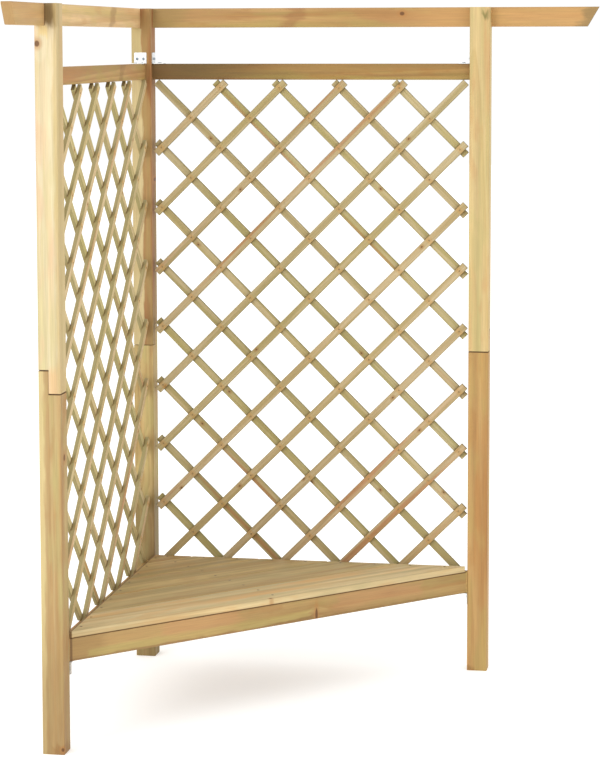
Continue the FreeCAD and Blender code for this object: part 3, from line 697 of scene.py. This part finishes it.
nail_zinc = galvanised("galvanised_nail_steel", "A08C66", "84714E", "6A4A2C", 0.5)
grid_rows, grid_columns = np.meshgrid(np.arange(ROWS + 1), np.arange(COLUMNS + 1), indexing="ij")
nailed = (grid_rows + grid_columns) % 2 == 0
nailed &= ~(np.isin(grid_rows, (0, ROWS)) & np.isin(grid_columns, (0, COLUMNS)))
for panel in ("left", "right"):
    heads = crossing(panel, grid_rows[nailed], grid_columns[nailed], TRELLIS_OUTER + 2 * LATH_THICK)
    points, faces = turned_pieces(heads, INWARD[panel], NAIL_RADII, NAIL_HEIGHTS, NAIL_SIDES)
    new_piece(panel + "_trellis_nails", points, faces, nail_zinc)
    tails = crossing(panel, grid_rows[nailed], grid_columns[nailed], TRELLIS_OUTER)
    points, faces = turned_pieces(tails, -INWARD[panel], POINT_RADII, POINT_HEIGHTS, POINT_SIDES)
    new_piece(panel + "_nail_points", points, faces, nail_zinc)

# Angle brackets: zinc-plated strip, 38 mm wide and 2 mm thick, bent to an angle and fixed with two
# pan-head screws into the post and two into the rail at each end of the mid and seat rails.
BRACKET_THICK, BRACKET_HALF, BRACKET_CORNER = 0.002, 0.019, 0.003
POST_LEG, RAIL_LEG, BEND = 0.034, 0.036, 0.003
HOLE_HALF, POST_HOLE, RAIL_HOLE = 0.0098, 0.015, 0.020
BEND_POINTS, CORNER_POINTS = 7, 5
PAN_RADIUS, PAN_HIGH = 0.004, 0.0022
PAN_BODY = ((0.0004, -0.019), (0.0017, -0.015), (0.0017, 0.0), (PAN_RADIUS, 0.0))
SCREW_SIDES, CROSS_DEEP = 20, 0.0012
# In radii of the head: half the width of the cross's bars, their reach, and the head's rings.
CROSS_HALF, CROSS_REACH = 0.17, 0.56
HEAD_RINGS = (1.0, 0.92, 0.8, 0.66, 0.52, 0.40, 0.28, 0.16, 0.04)
# Each pair of rails: its line, the end of its box that carries the brackets, the way their post legs
# point, and how far the two holes in a post leg are staggered.
RAIL_PAIRS = (("mid", MID_RAIL_LINE, 1, 1, 0.0), ("seat", SEAT_RAIL_LINE, 0, -1, 0.008))


def bracket_sheet():
    """Bent strip as a thick sheet: the path runs down the post leg, round a quarter bend and out along
    the rail leg; across, the strip narrows at both ends so that its corners are round."""
    turn = np.radians(np.linspace(0, 90, BEND_POINTS))
    corner = np.radians(np.linspace(0, 90, CORNER_POINTS))
    bend = np.stack((BEND - BEND * np.cos(turn), BEND - BEND * np.sin(turn)), 1)
    end = BRACKET_CORNER * (1 - np.cos(corner))
    post = np.stack((0 * end, POST_LEG - end), 1)
    rail = np.stack((RAIL_LEG - end[::-1], 0 * end), 1)
    outer = np.concatenate((post, bend, rail))
    normal = np.concatenate((np.tile((1.0, 0.0), (CORNER_POINTS, 1)),
                             np.stack((np.cos(turn), np.sin(turn)), 1),
                             np.tile((0.0, 1.0), (CORNER_POINTS, 1))))
    pull = BRACKET_CORNER * (1 - np.sin(corner))
    half = BRACKET_HALF - np.concatenate((pull, np.zeros(BEND_POINTS), pull[::-1]))
    inner = outer + normal * BRACKET_THICK
    loop = [(outer, -half), (outer, half), (inner, half), (inner, -half)]
    return np.stack([np.stack((line[:, 0], width, line[:, 1]), 1) for line, width in loop], 1)


def screw(radius, high, body):
    """Screw with its head up: body is the rings of radius and height from the tip to the head's rim.
    The head's height is high * (0.45 + 0.55 * (1 - (r/R)^4)), less the recess where the point lies in
    either bar of the cross."""
    angle = 2 * math.pi * np.arange(SCREW_SIDES) / SCREW_SIDES
    radial = np.array(HEAD_RINGS)[:, None]
    x, y = radial * np.cos(angle), radial * np.sin(angle)
    dome = high * (0.45 + 0.55 * (1 - radial ** 4)) * np.ones_like(x)
    arm = np.minimum(np.abs(x), np.abs(y))
    reach = np.maximum(np.abs(x), np.abs(y))
    in_bar = np.clip((CROSS_HALF - arm) / 0.05, 0, 1) * np.clip((CROSS_REACH - reach) / 0.1, 0, 1)
    dome -= CROSS_DEEP * in_bar
    rings = [np.stack((r * np.cos(angle), r * np.sin(angle), z + 0 * angle), -1) for r, z in body]
    return np.concatenate((rings, np.stack((x * radius, y * radius, dome), -1)))


def add_framed(shape, place, axes, points, faces):
    """Carry a shape made of rings into a frame of three axes at a place, and add its points and faces."""
    quads, ends = grid_faces(len(shape), shape.shape[1], len(points) * shape.size // 3)
    points.append(place + shape @ np.stack(axes))
    faces.extend(quads + ends)


def bracket_places(node, inward, high, sense):
    """Place and axes of the four brackets of a pair of rails: out along the rail, across it, and up or
    down the post."""
    up = np.array((0, 0, 1.0))
    for panel in ("left", "right"):
        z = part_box("%s_%s_rail" % (panel, node))[high].z
        for s, facing in ((2 * POST_HALF, 1), (POST_SPACING, -1)):
            place = CORNER + RUN[panel] * s + INWARD[panel] * inward + up * z
            out = RUN[panel] * facing
            yield place, out, np.cross(sense * up, out), sense * up


plate_zinc = galvanised("zinc_plated_strip", "F0F2F3", "D2D6D8", "B9A88A", 0.06)
screw_zinc = galvanised("zinc_plated_screw", "A9B4BE", "7E8992", "8A7558", 0.1)
sheet, head = bracket_sheet(), screw(PAN_RADIUS, PAN_HIGH, PAN_BODY)
for rail_node, inward, high, sense, stagger in RAIL_PAIRS:
    plate_points, plate_faces, head_points, head_faces = [], [], [], []
    for place, out, across, up in bracket_places(rail_node, inward, high, sense):
        add_framed(sheet, place, (out, across, up), plate_points, plate_faces)
        for side in (-1, 1):
            on_post = place + out * BRACKET_THICK + across * side * HOLE_HALF
            on_post = on_post + up * (POST_HOLE + side * stagger / 2)
            on_rail = place + out * RAIL_HOLE + across * side * HOLE_HALF + up * BRACKET_THICK
            for spot, axes in ((on_post, (across, up, out)), (on_rail, (out, across, up))):
                add_framed(head, spot, axes, head_points, head_faces)
    plates = new_piece(rail_node + "_rail_angle_plates", plate_points, plate_faces, plate_zinc)
    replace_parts(plates, rail_node + "_rail_brackets")
    heads = new_piece(rail_node + "_rail_pan_heads", head_points, head_faces, screw_zinc)
    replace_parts(heads, rail_node + "_rail_bracket_screws")

# Countersunk wood screws: they hold the beams in their notches, the laps of the posts, the ledgers
# and the seat boards. Their heads are sunk flush and have browned with the treated wood.
SUNK_RADIUS, SUNK_NECK, SUNK_TIP = 0.00414, 0.0019, 0.0006
TIP_SHORT, TIP_LONG, HEAD_DEEP, SUNK_BELOW = 0.001, 0.006, 0.0025, 0.00005


def screw_places(node):
    """Middle of the head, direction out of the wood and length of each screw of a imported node. Points
    joined by edges are one screw; it lies along its longest side, with its head at the wider end."""
    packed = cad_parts[node]
    points = np.array([packed.matrix_world @ vertex.co for vertex in packed.data.vertices])
    edges = np.array([edge.vertices[:] for edge in packed.data.edges])
    points, same = np.unique(points.round(6), axis=0, return_inverse=True)
    edges = same.ravel()[edges]
    label = np.arange(len(points))
    before = None
    while not np.array_equal(label, before):
        before = label.copy()
        np.minimum.at(label, edges[:, 0], before[edges[:, 1]])
        np.minimum.at(label, edges[:, 1], before[edges[:, 0]])
    for number in np.unique(label):
        own = points[label == number]
        low, high = own.min(0), own.max(0)
        axis = np.argmax(high - low)
        spread = [np.ptp(own[np.isclose(own[:, axis], end, atol=1e-5)], axis=0).max()
                  for end in (low[axis], high[axis])]
        outward = np.zeros(3)
        outward[axis] = 1 if spread[1] > spread[0] else -1
        yield (low + high) / 2 + outward * (high - low)[axis] / 2, outward, (high - low)[axis]


brown_zinc = galvanised("browned_screw_zinc", "8A7450", "5C4A32", "4A2E1A", 0.5)
for node in ("beam_screws", "splice_screws", "seat_board_screws", "seat_ledger_screws"):
    sunk_points, sunk_faces = [], []
    for place, outward, length in screw_places(node):
        body = ((SUNK_TIP, TIP_SHORT - length), (SUNK_NECK, TIP_LONG - length), (SUNK_NECK, -HEAD_DEEP))
        sunk = screw(SUNK_RADIUS, 0.0, body)
        sunk[len(body):, :, 2] -= SUNK_BELOW
        first = np.roll(outward, 1)
        axes = (first, np.cross(outward, first), outward)
        add_framed(sunk, place, axes, sunk_points, sunk_faces)
    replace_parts(new_piece("round_" + node, sunk_points, sunk_faces, brown_zinc), node)
